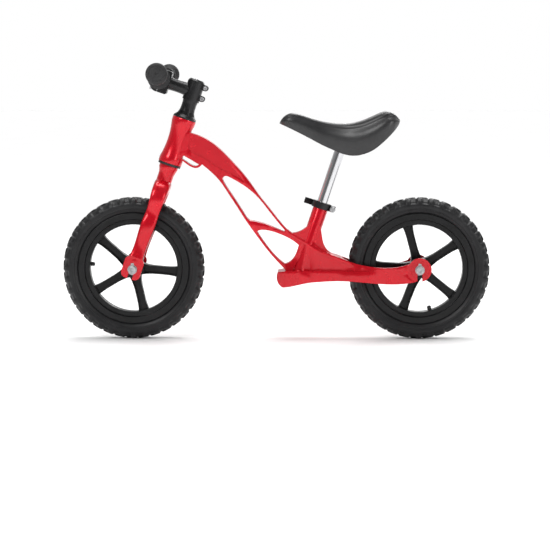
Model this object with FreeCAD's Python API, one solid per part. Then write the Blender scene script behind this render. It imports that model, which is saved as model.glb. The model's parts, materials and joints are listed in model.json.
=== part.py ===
"""Balance bike: cast frame and fork, 12 inch wheels, adjustable saddle, steering handlebar.

Millimetres. +Z is up, -X is forward and -Y is the bike's left side. The origin is on the
ground, half way between the two wheel centres, in the bike's middle plane.
"""
import FreeCAD
import Part
import math
import os

from FreeCAD import Vector

# ---------------------------------------------------------------- driving dimensions

# overall
wheel_base = 587.0
tyre_od = 292.0
head_tilt_deg = 18.5
seat_tilt_deg = 18.5
fork_offset = 2.5

# along the steering axis
crown_rise = 77.5
head_tube_gap = 5.0
head_tube_length = 95.5
stem_spacer_length = 23.5
stem_clamp_height = 40.0

# head tube and headset
head_end_r = 24.5
head_waist_r = 20.0
head_bore_r = 17.0
head_bearing_r = 20.5
head_bearing_width = 7.0
head_bearing_bore_r = 15.1
running_clearance = 0.05
steerer_r = 12.7
steerer_wall = 1.6
seal_gap = 0.6
cover_height = 15.0

# stem, handlebar and grips
stem_wall = 5.0
stem_reach = 70.0
stem_face_width = 42.0
stem_face_height = 48.0
ear_reach = 21.7
ear_r = 6.0
ear_half_width = 11.0
ear_spacing = 23.0
clamp_slit = 2.0
bar_r = 11.1
bar_wall = 2.0
bar_length = 404.0
bar_centre_length = 64.0
bar_bend_r = 60.0
bar_rise_deg = 4.5
bar_sweep_deg = 1.5
grip_length = 112.0
grip_r = 15.0
grip_knob_r = 22.0
grip_flange_r = 22.7
grip_end_wall = 6.0

# small fasteners
m5_r = 2.5
m5_head_r = 4.25
m6_r = 3.0
m6_head_r = 5.0

# wheels
tyre_width = 45.0
tyre_wall = 3.0
tyre_bead = 4.0
tube_gap = 0.2
rim_flange_r = 114.0
rim_face_r = 101.0
rim_inner_r = 90.0
rim_width = 38.0
rim_wall = 3.0
bead_seat_r = 104.0
spoke_count = 5
front_spoke_deg = -5.0
rear_spoke_deg = 105.0
spoke_half_width = 8.5
spoke_rib = 2.8
spoke_web = 4.0
hub_r = 19.0
hub_length = 60.0
axle_r = 5.0
bearing_r = 13.0
bearing_width = 8.0
bearing_outer_race = 1.7
bearing_ball_r = 2.0
bearing_ball_count = 9
valve_r = 3.0
valve_cap_r = 4.2
valve_cap_length = 8.0
valve_tip_r = 85.0

# dropouts
front_dropout_gap = 80.0
rear_dropout_gap = 90.0
dropout_wall = 7.0
slot_clearance = 0.1
axle_head_r = 8.0
axle_head_height = 6.0
washer_thickness = 1.5
paddle_width = 40.0
paddle_height = 46.0
rear_boss_r = 24.0
rear_groove_r = 19.0
rear_groove_width = 5.5
rear_groove_depth = 1.0

# fork
blade_inner = 31.0
blade_wall = 13.0
blade_depth_top = 34.0
blade_depth_bottom = 27.0
arch_clearance = 20.0

# frame
beam_width = 34.0
spar = 3.6
lower_spar = 5.0
panel_depth = 3.0
seat_tube_r = 15.5
seat_tube_top_z = 280.0
seat_tube_setback = 243.5
spar_join_z = 205.0
seat_bore_depth = 150.0
spar_half_width = 12.0
step_half_width = 36.0
step_drop = 4.0
stay_root_half = 12.0
stay_outer_mid = 43.0
ridge_proud = 0.8
wheel_well_gap = 9.0

# seat post, clamp and saddle
post_r = 11.1
post_wall = 2.0
post_inserted = 62.0
saddle_height = 417.0
collar_height = 12.0
collar_wall = 4.0
collar_ear_reach = 23.5
collar_ear_r = 6.5
skewer_r = 2.5
lever_length = 60.0
lever_gap = 0.4
saddle_length = 247.0
saddle_rear_width = 124.0
saddle_front_width = 62.0
saddle_thickness = 18.0
saddle_plate = 4.0

# ---------------------------------------------------------------- places that follow

tyre_r = tyre_od / 2
rear_axle = Vector(wheel_base / 2, 0, tyre_r)
front_axle = Vector(-wheel_base / 2, 0, tyre_r)


def tilted_frame(point, tilt_deg):
    """Placement with local +z up a leaning axis, local +x forward and local +y to the left."""
    tilt = math.radians(tilt_deg)
    up = Vector(math.sin(tilt), 0, math.cos(tilt))
    ahead = Vector(-math.cos(tilt), 0, math.sin(tilt))
    return FreeCAD.Placement(point, FreeCAD.Rotation(ahead, up.cross(ahead), up, "ZXY"))


head_tilt = math.radians(head_tilt_deg)
seat_tilt = math.radians(seat_tilt_deg)
steer_origin = front_axle + Vector(math.cos(head_tilt), 0, -math.sin(head_tilt)) * fork_offset
steering = tilted_frame(steer_origin, head_tilt_deg)

crown_top = tyre_r + crown_rise
head_bottom = crown_top + head_tube_gap
head_top = head_bottom + head_tube_length
cover_bottom = head_top + seal_gap
spacer_bottom = cover_bottom + cover_height
clamp_bottom = spacer_bottom + stem_spacer_length
clamp_top = clamp_bottom + stem_clamp_height
clamp_middle = (clamp_bottom + clamp_top) / 2

seat_foot_x = rear_axle.x - seat_tube_setback
step_top_z = rear_axle.z - step_drop
seat_top = Vector(seat_foot_x + (seat_tube_top_z - tyre_r) * math.tan(seat_tilt), 0, seat_tube_top_z)
seat = tilted_frame(seat_top, seat_tilt_deg)


# ---------------------------------------------------------------- shape helpers

def solid_of(shape):
    """The shape with its coplanar faces joined."""
    return shape.removeSplitter()


def tube(r_out, r_in, z0, z1):
    """Upright tube, or a rod when r_in is 0."""
    body = Part.makeCylinder(r_out, z1 - z0, Vector(0, 0, z0))
    if r_in > 0:
        body = body.cut(Part.makeCylinder(r_in, z1 - z0 + 2, Vector(0, 0, z0 - 1)))
    return body


def revolved(points):
    """Solid turned about local z from a closed outline of (radius, z) points."""
    corners = [Vector(r, 0, z) for r, z in points]
    face = Part.Face(Part.makePolygon(corners + corners[:1]))
    return face.revolve(Vector(0, 0, 0), Vector(0, 0, 1), 360)


def spline(points):
    """Edge of a smooth curve through the points."""
    curve = Part.BSplineCurve()
    curve.interpolate(points)
    return curve.toShape()


def closed_face(*runs):
    """Face inside runs of points: each run is one smooth curve, and straight edges join them."""
    edges = []
    for index, run in enumerate(runs):
        following = runs[(index + 1) % len(runs)]
        if len(run) > 1:
            edges.append(spline(run) if len(run) > 2 else Part.makeLine(run[0], run[1]))
        if run[-1].distanceToPoint(following[0]) > 1e-6:
            edges.append(Part.makeLine(run[-1], following[0]))
    return Part.Face(Part.Wire(edges))


def across(face, half_width):
    """Solid that a face in the XZ plane sweeps from -half_width to +half_width in Y."""
    moved = face.copy()
    moved.translate(Vector(0, -half_width, 0))
    return moved.extrude(Vector(0, 2 * half_width, 0))


def mirrored(shape):
    """The shape's mirror image in the middle plane."""
    return shape.mirror(Vector(0, 0, 0), Vector(0, 1, 0))


def placed(shape, placement):
    """Copy of a shape moved from its local frame into the bike's frame."""
    copy = shape.copy()
    copy.transformShape(placement.toMatrix(), True)
    return copy


def facing(point, direction):
    """Placement with its origin at point and local +z along direction."""
    return FreeCAD.Placement(point, FreeCAD.Rotation(Vector(0, 0, 1), direction))


def box_between(low, high):
    """Box from its lowest to its highest corner."""
    low = Vector(*low)
    size = Vector(*high) - low
    return Part.makeBox(size.x, size.y, size.z, low)


def rod_y(r, x, z, y0, y1):
    """Rod along Y in the frame it is drawn in."""
    return Part.makeCylinder(r, y1 - y0, Vector(x, y0, z), Vector(0, 1, 0))


def socket_screw(shank_r, head_r, head_height, shank_length):
    """Socket-head screw: the head's underside is at z = 0 and the shank runs down from it."""
    head = tube(head_r, 0, 0, head_height)
    rim = [edge for edge in head.Edges if abs(edge.BoundBox.ZMin - head_height) < 1e-6]
    head = head.makeFillet(head_height * 0.18, rim)
    socket = Part.Face(Part.makePolygon([
        Vector(head_r * 0.55 * math.cos(math.radians(60 * k)),
               head_r * 0.55 * math.sin(math.radians(60 * k)), head_height + 1)
        for k in range(7)]))
    head = head.cut(socket.extrude(Vector(0, 0, -1 - head_height * 0.6)))
    return head.fuse(tube(shank_r, 0, -shank_length, 0.01))


nodes = {}


# ---------------------------------------------------------------- wheels

def wheel_frame(centre, turn_deg=0):
    """Local +z to the bike's left, local +x rearward and local +y up, turned in its plane."""
    basis = FreeCAD.Rotation(Vector(1, 0, 0), Vector(0, 0, 1), Vector(0, -1, 0), "ZXY")
    return FreeCAD.Placement(centre, basis.multiply(FreeCAD.Rotation(Vector(0, 0, 1), turn_deg)))


def rim_casting():
    """One-piece wheel casting: rim, five ribbed spokes and hub, with the valve hole."""
    half = rim_width / 2
    well = half - 5.0
    rim = revolved([
        (rim_inner_r, -well), (rim_inner_r, well), (rim_face_r - 1.5, well),
        (rim_face_r, half), (rim_flange_r - 1, half), (rim_flange_r, half - 1),
        (rim_flange_r, half - rim_wall), (bead_seat_r, half - rim_wall),
        (bead_seat_r - 2, 0), (bead_seat_r, -half + rim_wall), (rim_flange_r, -half + rim_wall),
        (rim_flange_r, -half + 1), (rim_flange_r - 1, -half), (rim_face_r, -half),
        (rim_face_r - 1.5, -well)])
    hub_half = hub_length / 2
    hub = revolved([
        (0, -hub_half), (hub_r - 2, -hub_half), (hub_r, -hub_half + 2), (hub_r, hub_half - 2),
        (hub_r - 2, hub_half), (0, hub_half)])
    outline = spoke_outline(0)
    pocket = spoke_outline(spoke_rib)
    spokes = []
    for k in range(spoke_count):
        spoke = outline.extrude(Vector(0, 0, 2 * well)).translated(Vector(0, 0, -well))
        for side in (1, -1):
            recess = pocket.extrude(Vector(0, 0, side * well))
            spoke = spoke.cut(recess.translated(Vector(0, 0, side * spoke_web / 2)))
        spoke = spoke.common(spoke_envelope(well))
        spokes.append(spoke.rotated(Vector(0, 0, 0), Vector(0, 0, 1), 360 / spoke_count * k))
    wheel = rim.fuse([hub] + spokes)
    wheel = wheel.cut(tube(bearing_r - 1.5, 0, -hub_half - 1, hub_half + 1))
    for z0 in (-hub_half - 1, hub_half - bearing_width):
        wheel = wheel.cut(tube(bearing_r, 0, z0, z0 + bearing_width + 1))
    hole = Part.makeCylinder(valve_r + 0.1, 40, Vector(0, 0, 0), Vector(1, 0, 0))
    hole.translate(Vector(rim_inner_r - 10, 0, 0))
    hole.rotate(Vector(0, 0, 0), Vector(0, 0, 1), 180)
    return solid_of(wheel.cut(hole))


def spoke_outline(inset):
    """Spoke's outline in the wheel's plane, flared at the hub and at the rim."""
    start = hub_r - 3 + inset * 2
    end = rim_inner_r + 3 - inset * 1.6
    near = spoke_half_width + 4 - inset
    middle = spoke_half_width - inset
    far = spoke_half_width + 3 - inset
    waist = (start + end) / 2
    upper = [Vector(start, near, 0), Vector(start + 14, middle + 0.8, 0), Vector(waist, middle, 0),
             Vector(end - 14, middle + 0.5, 0), Vector(end, far, 0)]
    lower = [Vector(p.x, -p.y, 0) for p in reversed(upper)]
    return closed_face(upper, lower)


def spoke_envelope(well):
    """Thickness of a spoke along its length: thick at the hub, thinner towards the rim."""
    thick = hub_length / 2 - 8
    thin = well - 4
    return revolved([(0, -thick), (hub_r, -thick), (hub_r + 22, -thin), (rim_inner_r + 4, -thin),
                     (rim_inner_r + 4, thin), (hub_r + 22, thin), (hub_r, thick), (0, thick)])


def tyre_half_section(inset, bead, foot_r):
    """Half of the tyre's section, drawn in by a wall and by a bead, with its foot at foot_r."""
    half = tyre_width / 2 - inset
    bead_half = rim_width / 2 - rim_wall - bead
    crown = tyre_r - inset
    return [(foot_r, bead_half), (rim_flange_r + 0.5, bead_half), (rim_flange_r + 5, half * 0.88),
            (rim_flange_r + 14, half), (crown - 10, half * 0.93), (crown - 5, half * 0.77),
            (crown - 1.2, half * 0.46), (crown, half * 0.11)]


def full_section(points):
    """Closed outline from a half section: the other half is its mirror image."""
    return points + [(r, -z) for r, z in reversed(points)]


def add_wheel(name, centre, spoke_deg, gap):
    """All the pieces of one wheel, with its axle set."""
    turn = wheel_frame(centre, spoke_deg)
    level = wheel_frame(centre)
    half = hub_length / 2
    nodes[name + "_rim"] = placed(rim_casting(), turn)
    carcass = revolved(full_section(tyre_half_section(0, 0, bead_seat_r)))
    cavity = revolved(full_section(tyre_half_section(tyre_wall, tyre_bead, bead_seat_r - 1)))
    nodes[name + "_tyre"] = placed(carcass.cut(cavity), turn)
    stem = Part.makeCylinder(valve_r, bead_seat_r + 5 - valve_tip_r, Vector(-bead_seat_r - 5, 0, 0),
                             Vector(1, 0, 0))
    tube_section = tyre_half_section(tyre_wall + tube_gap, tyre_bead + tube_gap, bead_seat_r + tube_gap)
    tube_body = revolved(full_section(tube_section)).fuse(stem)
    nodes[name + "_inner_tube"] = placed(solid_of(tube_body), turn)
    cap = revolved([(valve_r, 0), (valve_cap_r, 0), (valve_cap_r, valve_cap_length - 2),
                    (valve_cap_r - 1.5, valve_cap_length), (0, valve_cap_length), (0, 4.0),
                    (valve_r, 4.0)])
    cap = placed(cap, facing(Vector(-valve_tip_r - 4.0, 0, 0), Vector(1, 0, 0)))
    nodes[name + "_valve_cap"] = placed(cap, turn)
    nodes[name + "_bearing_outer_races"] = placed(Part.Compound([
        tube(bearing_r, bearing_r - bearing_outer_race, z0, z0 + bearing_width)
        for z0 in (-half, half - bearing_width)]), level)
    ball_pitch_r = bearing_r - bearing_outer_race - bearing_ball_r
    balls = []
    for z0 in (-half + bearing_width / 2, half - bearing_width / 2):
        for k in range(bearing_ball_count):
            angle = 2 * math.pi * k / bearing_ball_count
            balls.append(Part.makeSphere(bearing_ball_r, Vector(
                ball_pitch_r * math.cos(angle), ball_pitch_r * math.sin(angle), z0)))
    nodes[name + "_bearing_balls"] = placed(Part.Compound(balls), level)
    inner_race_r = ball_pitch_r - bearing_ball_r - running_clearance
    nodes[name + "_bearing_inner_races"] = placed(Part.Compound([
        tube(inner_race_r, axle_r, z0, z0 + bearing_width)
        for z0 in (-half, half - bearing_width)]), level)
    nodes[name + "_axle_sleeve"] = placed(
        tube(inner_race_r, axle_r, -half + bearing_width, half - bearing_width), level)
    add_axle(name, level, half, gap / 2)


def add_axle(name, level, half, inner_face):
    """Hollow axle, hub spacers, washers and the two bolts that hold the wheel in its dropouts."""
    outer_face = inner_face + dropout_wall
    nodes[name + "_axle"] = placed(tube(axle_r, m6_r, -outer_face, outer_face), level)
    spacer = tube(axle_r + 3, axle_r, half, inner_face)
    nodes[name + "_hub_spacers"] = placed(
        Part.Compound([spacer, spacer.mirror(Vector(0, 0, 0), Vector(0, 0, 1))]), level)
    tab_top = outer_face + washer_thickness
    washer_top = tab_top + washer_thickness
    washer = tube(axle_head_r + 1.5, m6_r, tab_top, washer_top)
    nodes[name + "_axle_washers"] = placed(
        Part.Compound([washer, washer.mirror(Vector(0, 0, 0), Vector(0, 0, 1))]), level)
    tab = tube(axle_head_r, m6_r, outer_face, tab_top)
    lip = box_between((-3, 0, outer_face), (3, axle_head_r + 5, tab_top))
    tab = tab.fuse(lip.cut(tube(m6_r, 0, outer_face - 1, tab_top + 1)))
    nodes[name + "_retention_tabs"] = placed(
        Part.Compound([tab, tab.mirror(Vector(0, 0, 0), Vector(0, 0, 1))]), level)
    bolt = socket_screw(m6_r, axle_head_r, axle_head_height, washer_top - half + 12)
    bolt = bolt.translated(Vector(0, 0, washer_top))
    nodes[name + "_axle_bolts"] = placed(
        Part.Compound([bolt, bolt.mirror(Vector(0, 0, 0), Vector(0, 0, 1))]), level)


# ---------------------------------------------------------------- fork and headset

def fork_section(centre, along, depth, thickness):
    """Rounded section of the fork at a point of its arch, square to the direction along."""
    inward = Vector(1, 0, 0).cross(along).normalize()
    points = []
    for k in range(16):
        angle = 2 * math.pi * (k + 0.5) / 16
        wide = math.copysign(abs(math.cos(angle)) ** 0.7, math.cos(angle))
        deep = math.copysign(abs(math.sin(angle)) ** 0.7, math.sin(angle))
        points.append(centre + Vector(depth / 2 * wide, 0, 0) + inward * (thickness / 2 * deep))
    curve = Part.BSplineCurve()
    curve.interpolate(points, True)
    return Part.Wire(curve.toShape())


def fork_casting():
    """Cast fork: crown, two blades and two flat dropout paddles, in the steering frame."""
    inner_face = front_dropout_gap / 2
    blade_y = blade_inner + blade_wall / 2
    shoulder = tyre_r + 4
    crown_thickness = 28.0
    arch_rise = arch_clearance + crown_thickness / 2 - 4
    foot = blade_depth_bottom

    def leg_section(x, y, z, depth, thickness, side):
        return fork_section(Vector(x, side * y, z), Vector(0, 0, side), depth, thickness)

    legs = []
    for side in (1, -1):
        legs.append([
            leg_section(fork_offset + 1, inner_face + dropout_wall / 2, 12, foot + 4, dropout_wall, side),
            leg_section(fork_offset, blade_y + 2, 34, foot, blade_wall - 2, side),
            leg_section(fork_offset * 0.7, blade_y, 62, foot, blade_wall, side),
            leg_section(fork_offset * 0.3, blade_y, 105, foot + 2, blade_wall, side)])
    arch = []
    for k in range(7):
        angle = math.pi / 6 * k
        along = Vector(0, -blade_y * math.sin(angle), arch_rise * math.cos(angle)).normalize()
        share = math.sin(angle)
        arch.append(fork_section(
            Vector(0, blade_y * math.cos(angle), shoulder + arch_rise * share), along,
            foot + 3 + (blade_depth_top - foot - 2) * share,
            blade_wall + (crown_thickness - blade_wall) * share ** 2))
    horseshoe = Part.makeLoft(legs[0] + arch + legs[1][::-1], True, False)
    crown_r = blade_depth_top / 2
    crown = revolved([(0, shoulder + arch_rise), (crown_r - 1, shoulder + arch_rise),
                      (crown_r - 1, crown_top - 18), (head_bearing_r - 1, crown_top - 6),
                      (head_bearing_r - 1, crown_top), (0, crown_top)])
    paddle = rounded_plate(paddle_width, paddle_height, inner_face, inner_face + dropout_wall, 11)
    paddle = paddle.translated(Vector(fork_offset + 1, 0, 3))
    fork = horseshoe.fuse([crown, paddle, mirrored(paddle)])
    fork = fork.cut(dropout_slot(inner_face, -90).translated(Vector(fork_offset, 0, 0)))
    return solid_of(fork.cut(tube(steerer_r, 0, crown_top - 30, crown_top + 1)))


def rounded_plate(width, height, y0, y1, r):
    """Plate with rounded corners about the origin of the XZ plane, between two Y values."""
    plate = box_between((-width / 2, y0, -height / 2), (width / 2, y1, height / 2))
    corners = [edge for edge in plate.Edges if edge.BoundBox.YLength > (y1 - y0) / 2]
    return plate.makeFillet(r, corners)


def dropout_slot(inner_face, direction_deg):
    """Cutter for the open slot that an axle slides into, drawn about the axle's centre."""
    r = axle_r + slot_clearance
    depth = inner_face + dropout_wall + 10
    angle = math.radians(direction_deg)
    mouth = box_between((-r, -depth, -80), (r, depth, 0))
    mouth.rotate(Vector(0, 0, 0), Vector(0, 1, 0), -math.degrees(angle) - 90)
    return mouth.fuse(rod_y(r, 0, 0, -depth, depth))


def add_steering():
    """Fork, steerer, headset pieces, stem, handlebar and grips, all turning together."""
    nodes["fork"] = placed(fork_casting(), steering)
    nodes["steerer_tube"] = placed(
        tube(steerer_r, steerer_r - steerer_wall, crown_top - 30, clamp_top - 2), steering)
    race_collar_r = head_bearing_bore_r - running_clearance
    race = revolved([
        (steerer_r, crown_top), (head_bearing_r - 1, crown_top), (head_bearing_r - 1, crown_top + 3),
        (race_collar_r, crown_top + 4), (race_collar_r, head_bottom + head_bearing_width),
        (steerer_r, head_bottom + head_bearing_width)])
    nodes["crown_race"] = placed(race, steering)
    nodes["headset_seal_ring"] = placed(
        tube(head_end_r - 1, head_bearing_r - 1, crown_top, head_bottom - seal_gap), steering)
    nodes["headset_compression_ring"] = placed(
        tube(race_collar_r, steerer_r, head_top - head_bearing_width, cover_bottom), steering)
    spacer_r = steerer_r + 3
    nodes["headset_top_cover"] = placed(revolved([
        (steerer_r, cover_bottom), (head_end_r - 0.5, cover_bottom), (head_end_r - 0.5, cover_bottom + 2.5),
        (spacer_r + 3, cover_bottom + 8), (spacer_r, spacer_bottom), (steerer_r, spacer_bottom)]), steering)
    waist = spacer_bottom + stem_spacer_length / 2
    nodes["stem_spacer"] = placed(revolved([
        (steerer_r, spacer_bottom), (spacer_r, spacer_bottom), (spacer_r - 0.8, waist - 5),
        (spacer_r - 0.8, waist + 5), (spacer_r, clamp_bottom), (steerer_r, clamp_bottom)]), steering)
    add_stem()
    add_handlebar()


# ---------------------------------------------------------------- stem and handlebar

def stem_screws():
    """Places of the two rear pinch screws: (height along the steering axis)."""
    middle = clamp_middle + 2
    return (middle - ear_spacing / 2, middle + ear_spacing / 2)


def add_stem():
    """Stem body with its steerer clamp, the faceplate, the top cap and their screws."""
    clamp_r = steerer_r + stem_wall
    body = tube(clamp_r, 0, clamp_bottom, clamp_top)
    for z in stem_screws():
        ear = rod_y(ear_r, -ear_reach, z, -ear_half_width, ear_half_width)
        root = box_between((-ear_reach, -ear_half_width, z - ear_r), (0, ear_half_width, z + ear_r))
        body = body.fuse([ear, root])
    half_height = stem_face_height / 2
    half_width = stem_face_width / 2
    back = stem_reach - bar_r - 8
    neck = Part.makeLoft([
        neck_ring(0, clamp_r - 1, 16.0), neck_ring(stem_reach * 0.5, 13.0, 12.5),
        neck_ring(back + 6, half_width - 4, 14.0)], True)
    front = stem_reach + bar_r + 6
    block = box_between((back, -half_width, clamp_middle - half_height),
                        (front, half_width, clamp_middle + half_height))
    corners = [edge for edge in block.Edges
               if edge.BoundBox.YLength > 10 and edge.BoundBox.XMin > stem_reach]
    block = block.makeFillet(13.0, corners)
    rear_edges = [edge for edge in block.Edges
                  if edge.BoundBox.YLength > 10 and edge.BoundBox.XMax < back + 1]
    block = block.makeFillet(4.0, rear_edges)
    bar_hole = rod_y(bar_r, stem_reach, clamp_middle, -100, 100)
    split = stem_reach + 1.0
    slab = box_between((split - 0.8, -100, clamp_middle - 60), (split + 0.8, 100, clamp_middle + 60))
    ahead = box_between((split, -100, clamp_middle - 60), (split + 80, 100, clamp_middle + 60))
    faceplate = block.common(ahead).cut(bar_hole).cut(slab)
    body = body.fuse([neck, block.cut(ahead)]).cut(bar_hole).cut(slab)
    body = body.cut(tube(steerer_r, 0, clamp_bottom - 1, clamp_top + 1))
    body = body.cut(box_between((-ear_reach - 20, -clamp_slit / 2, clamp_bottom - 1),
                                (-steerer_r + 2, clamp_slit / 2, clamp_top + 1)))
    pinch = []
    for z in stem_screws():
        screw = socket_screw(m5_r, m5_head_r, 5.0, ear_half_width * 1.6)
        screw = placed(screw, facing(Vector(-ear_reach, ear_half_width - 4, z), Vector(0, 1, 0)))
        body = body.cut(rod_y(m5_head_r + 0.2, -ear_reach, z, ear_half_width - 4, ear_half_width + 4))
        body = body.cut(rod_y(m5_r, -ear_reach, z, -ear_half_width, ear_half_width))
        pinch.append(screw)
    face_screws = []
    for y in (-half_width + 7, half_width - 7):
        for z in (clamp_middle - half_height + 5, clamp_middle + half_height - 5):
            seat_x = stem_reach + 12
            screw = socket_screw(m5_r, m5_head_r, 5.0, 22)
            screw = placed(screw, facing(Vector(seat_x, y, z), Vector(1, 0, 0)))
            face_screws.append(screw)
            shank = Part.makeCylinder(m5_r, 60, Vector(seat_x - 22, y, z), Vector(1, 0, 0))
            head = Part.makeCylinder(m5_head_r + 0.2, 30, Vector(seat_x, y, z), Vector(1, 0, 0))
            faceplate = faceplate.cut(shank).cut(head)
            body = body.cut(shank)
    nodes["stem"] = placed(solid_of(body), steering)
    nodes["stem_faceplate"] = placed(solid_of(faceplate), steering)
    nodes["stem_pinch_screws"] = placed(Part.Compound(pinch), steering)
    nodes["stem_faceplate_screws"] = placed(Part.Compound(face_screws), steering)
    cap_r = clamp_r - 1
    cap = revolved([(0, clamp_top), (cap_r, clamp_top), (cap_r, clamp_top + 2), (cap_r - 3, clamp_top + 5),
                    (0, clamp_top + 5)])
    cap = cap.cut(tube(m6_r, 0, clamp_top - 1, clamp_top + 9))
    cap = cap.cut(tube(m6_head_r + 0.2, 0, clamp_top + 2, clamp_top + 9))
    nodes["stem_top_cap"] = placed(cap, steering)
    screw = socket_screw(m6_r, m6_head_r, 4.0, 36).translated(Vector(0, 0, clamp_top + 2))
    nodes["stem_cap_screw"] = placed(screw, steering)
    nut_top = clamp_top - 20
    nodes["steerer_star_nut"] = placed(
        tube(steerer_r - steerer_wall, m6_r, nut_top - 10, nut_top), steering)


def neck_ring(x, half_y, half_z):
    """Oval section of the stem's neck at distance x ahead of the steering axis."""
    curve = Part.BSplineCurve()
    points = [Vector(x, half_y * math.cos(a), clamp_middle + half_z * math.sin(a))
              for a in [2 * math.pi * k / 12 for k in range(12)]]
    curve.interpolate(points, True)
    return Part.Wire(curve.toShape())


bar_centre = steering.multVec(Vector(stem_reach, 0, clamp_middle))
bar_lift = Vector(math.tan(math.radians(bar_sweep_deg)), 0, math.tan(math.radians(bar_rise_deg)))
bar_bend = math.atan(bar_lift.Length)


def bar_path(side):
    """Path of one half of the handlebar, and the start and direction of its outer straight."""
    outward = Vector(0, side, 0)
    lift = Vector(bar_lift).normalize()
    start = bar_centre + outward * (bar_centre_length / 2)
    centre = start + lift * bar_bend_r

    def on_arc(angle):
        return centre + outward * (bar_bend_r * math.sin(angle)) - lift * (bar_bend_r * math.cos(angle))

    bend_end = on_arc(bar_bend)
    along = outward * math.cos(bar_bend) + lift * math.sin(bar_bend)
    straight = (bar_length / 2 - bend_end.dot(outward)) / math.cos(bar_bend)
    tip = bend_end + along * straight
    edges = [Part.makeLine(bar_centre, start),
             Part.Arc(start, on_arc(bar_bend / 2), bend_end).toShape(),
             Part.makeLine(bend_end, tip)]
    return Part.Wire(edges), tip, along


def add_handlebar():
    """Handlebar tube and the two grips on its ends."""
    halves = []
    for side in (-1, 1):
        path, tip, along = bar_path(side)
        for r in (bar_r, bar_r - bar_wall):
            ring = Part.Wire(Part.makeCircle(r, bar_centre, Vector(0, side, 0)))
            halves.append(path.makePipeShell([ring], True, False))
        grip = grip_solid()
        name = "left_grip" if side < 0 else "right_grip"
        nodes[name] = placed(grip, facing(tip, along))
    bar = halves[0].fuse(halves[2]).cut(halves[1].fuse(halves[3]))
    nodes["handlebar"] = solid_of(bar)


def grip_solid():
    """Grip with a broad inner flange and a round safety knob; local z = 0 is the bar's tip."""
    inner = grip_end_wall - grip_length
    knob = 14.0
    outline = [(bar_r, inner), (grip_flange_r - 1.5, inner), (grip_flange_r, inner + 2),
               (grip_flange_r - 1, inner + 4.5), (grip_r + 1, inner + 8), (grip_r - 0.5, inner + 24),
               (grip_r + 0.8, inner + 48), (grip_r - 0.8, -knob - 8),
               (grip_knob_r - 2, -knob + 3), (grip_knob_r, -knob + 9), (grip_knob_r - 2, -knob + 15),
               (grip_knob_r - 8, grip_end_wall - 1.2), (3, grip_end_wall), (0, grip_end_wall - 1.2),
               (0, 0), (bar_r, 0)]
    return revolved(outline)


# ---------------------------------------------------------------- frame

head_anchor = steering.multVec(Vector(0, 0, (head_bottom + head_top) / 2))
seat_anchor = seat_top - Vector(math.tan(seat_tilt), 0, 1) * (seat_tube_top_z - spar_join_z)


def station(t, rise):
    """Point at fraction t of the line from the head tube to the seat tube, rise mm above it."""
    chord = seat_anchor - head_anchor
    up = Vector(-chord.z, 0, chord.x).normalize()
    return head_anchor + chord * t + up * rise


def stations(*pairs):
    """Points from (t, rise) pairs."""
    return [station(t, rise) for t, rise in pairs]


def rear(t, z):
    """Point at fraction t of the way from the seat tube's foot to the rear axle, z above the axle."""
    return Vector(seat_foot_x + (rear_axle.x - seat_foot_x) * t, 0, tyre_r + z)


def rears(*pairs):
    """Points from (t, z) pairs."""
    return [rear(t, z) for t, z in pairs]


def beam_solid():
    """Front half of the frame: the deep beam that splits into thin spars round two windows."""
    outline = closed_face(
        stations((0.0, 24), (0.05, 32), (0.162, 40), (0.257, 38.5), (0.352, 33), (0.439, 27),
                 (0.52, 19), (0.60, 10), (0.69, 2), (0.77, -5.5), (0.86, -12), (1.0, -13)),
        stations((1.03, -84), (0.968, -79), (0.888, -74), (0.79, -65.5), (0.69, -54.6), (0.616, -46.3),
                 (0.518, -33.5), (0.44, -23.8), (0.361, -14.1), (0.286, -9.2), (0.205, -7.5)),
        stations((0.205, -7.5), (0.196, -18.5), (0.102, -25.5), (0.0, -34)))
    broad = beam_width / 2
    side = [Vector(station(u, 0).x, half, 0) for u, half in (
        (-0.22, broad), (0.22, broad), (0.53, broad - 0.5), (0.78, spar_half_width + 2),
        (1.04, spar_half_width))]
    plan = closed_face(side, [Vector(p.x, -p.y, 0) for p in reversed(side)])
    beam = across(outline, broad).common(plan.extrude(Vector(0, 0, 600)))
    upper_window = closed_face(
        stations((0.356, -7), (0.358, 1), (0.40, 6), (0.50, 9), (0.60, 6), (0.69, 2 - spar - 0.4),
                 (0.77, -5.5 - spar - 0.4), (0.845, -11.2 - spar - 0.6)),
        stations((0.845, -18.6), (0.80, -22.2), (0.74, -27.5), (0.69, -33.5), (0.64, -42.1)),
        stations((0.616, -46.3 + lower_spar), (0.518, -33.5 + lower_spar), (0.44, -23.8 + lower_spar),
                 (0.385, -17 + lower_spar), (0.356, -7)))
    lower_window = closed_face(
        stations((0.712, -51), (0.72, -46), (0.753, -37.4), (0.801, -30.6), (0.859, -25.3), (0.91, -22.6),
                 (0.965, -23)),
        stations((0.965, -23), (0.98, -38), (0.985, -56), (0.965, -71)),
        stations((0.965, -71), (0.888, -74 + lower_spar), (0.79, -65.5 + lower_spar),
                 (0.74, -59.8 + lower_spar), (0.712, -51)))
    loop_window = closed_face(
        stations((0.085, -15.5), (0.146, -13.0), (0.190, -11.5)),
        stations((0.190, -11.5), (0.186, -15.8), (0.102, -22.5), (0.08, -23.5)),)
    for window in (upper_window, lower_window, loop_window):
        beam = beam.cut(across(window, beam_width))
    panel = closed_face(
        stations((0.060, 12), (0.078, 25), (0.162, 32), (0.257, 30.5), (0.352, 25.5), (0.44, 18.5),
                 (0.475, 15)),
        stations((0.475, 15), (0.42, 14), (0.36, 10), (0.277, 6), (0.166, 3.5), (0.095, 0.5),
                 (0.060, 12)))
    recess = across(panel, panel_depth)
    for side in (-1, 1):
        beam = beam.cut(recess.translated(Vector(0, side * beam_width / 2, 0)))
    return beam


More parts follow.
